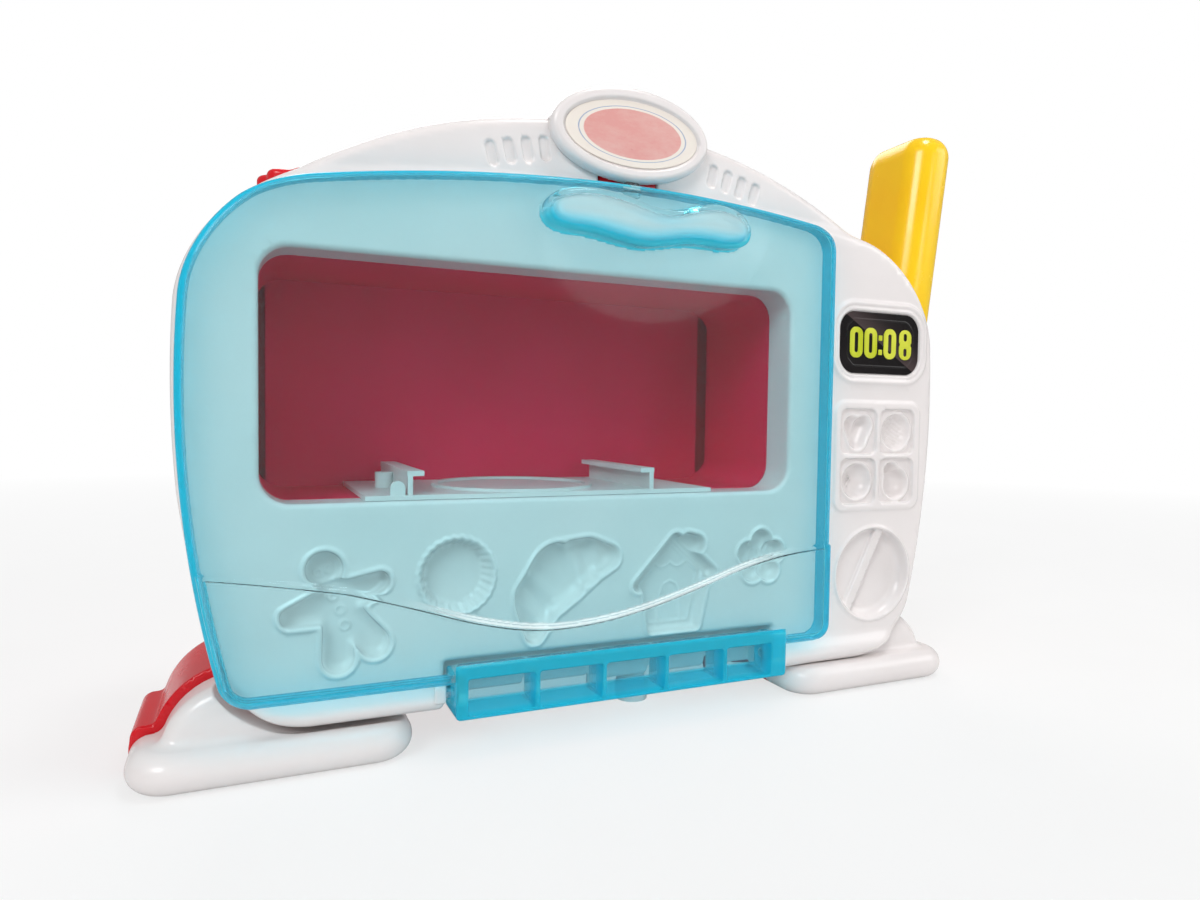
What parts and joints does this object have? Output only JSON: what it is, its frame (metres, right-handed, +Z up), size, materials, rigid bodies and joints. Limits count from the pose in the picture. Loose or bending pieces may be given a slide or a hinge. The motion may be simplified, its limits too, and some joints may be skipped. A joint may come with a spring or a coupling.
{
  "type": "toy oven",
  "caption": "Toy play oven with a see-through drop-down door, front moulds, a side press lever that lifts a floor disc, a turning dial and wide feet.",
  "frame": {"origin": "on the table, under the middle of the whole toy's outer box", "axes": "+Z up, the door faces -Y, the lever is at +X"},
  "size_m": [0.3659, 0.0958, 0.266],
  "materials": {
    "white_shell": "glossy moulded plastic",
    "red_shell": "glossy moulded plastic",
    "clear_blue": "translucent moulded plastic",
    "yellow_grip": "glossy moulded plastic",
    "white_inner": "satin moulded plastic",
    "label_pale": "printed label",
    "label_dark": "printed label",
    "steel": "plated steel",
    "battery": "wrapped cell",
    "board": "circuit board",
    "black": "moulded plastic"
  },
  "bodies": {
    "body": {"front_shell": "white_shell", "rear_shell": "red_shell", "oven_liner": "red_shell", "floor_plate": "white_shell", "plunger_guide": "white_inner", "guide_screws": "steel", "lever_pin": "steel", "hinge_pins": "steel", "latch_catch": "red_shell", "plaque": "white_shell", "plaque_label": "label_pale", "timer_label": "label_dark", "left_foot_front": "white_shell", "left_foot_rear": "red_shell", "right_foot_front": "white_shell", "right_foot_rear": "red_shell", "middle_foot": "white_shell", "battery_box": "white_inner", "battery_door": "red_shell", "batteries": "battery", "battery_contacts": "steel", "battery_door_screw": "steel", "sound_board": "board", "speaker": "black", "lever_switch": "black", "shell_screws": "steel", "liner_screws": "steel", "foot_screws": "steel"},
    "door": {"door": "clear_blue"},
    "lever": {"lever_arm": "yellow_grip", "lever_grip": "yellow_grip", "grip_screws": "steel"},
    "plunger": {"lift_disc": "white_shell", "plunger_foot": "white_inner", "return_spring": "steel"},
    "dial": {"turning_dial": "red_shell", "dial_washer": "steel", "dial_screw": "steel"}
  },
  "joints": [
    {"name": "door_hinge", "type": "hinge", "parent": "body", "child": "door", "pos_m": [-0.01195, -0.03112, 0.022], "axis": [1, 0, 0], "range_deg": [0, 88]},
    {"name": "lever_press", "type": "hinge", "parent": "body", "child": "lever", "pos_m": [0.04805, 0.00988, 0.045], "axis": [0, 1, 0], "range_deg": [0, 13], "stiffness_Nm_per_rad": 1.2, "springref_deg": -8.59},
    {"name": "plunger_lift", "type": "slide", "parent": "body", "child": "plunger", "axis": [0, 0, 1], "range_m": [0, 0.0203], "deforming": ["return_spring"]},
    {"name": "dial_turn", "type": "hinge", "parent": "body", "child": "dial", "pos_m": [-0.12195, 0.01287, 0.2], "axis": [0, 0, 1], "continuous": true}
  ],
  "couplings": [
    {"joint": "plunger_lift", "follows": "lever_press", "m_per_rad": 0.0888}
  ]
}
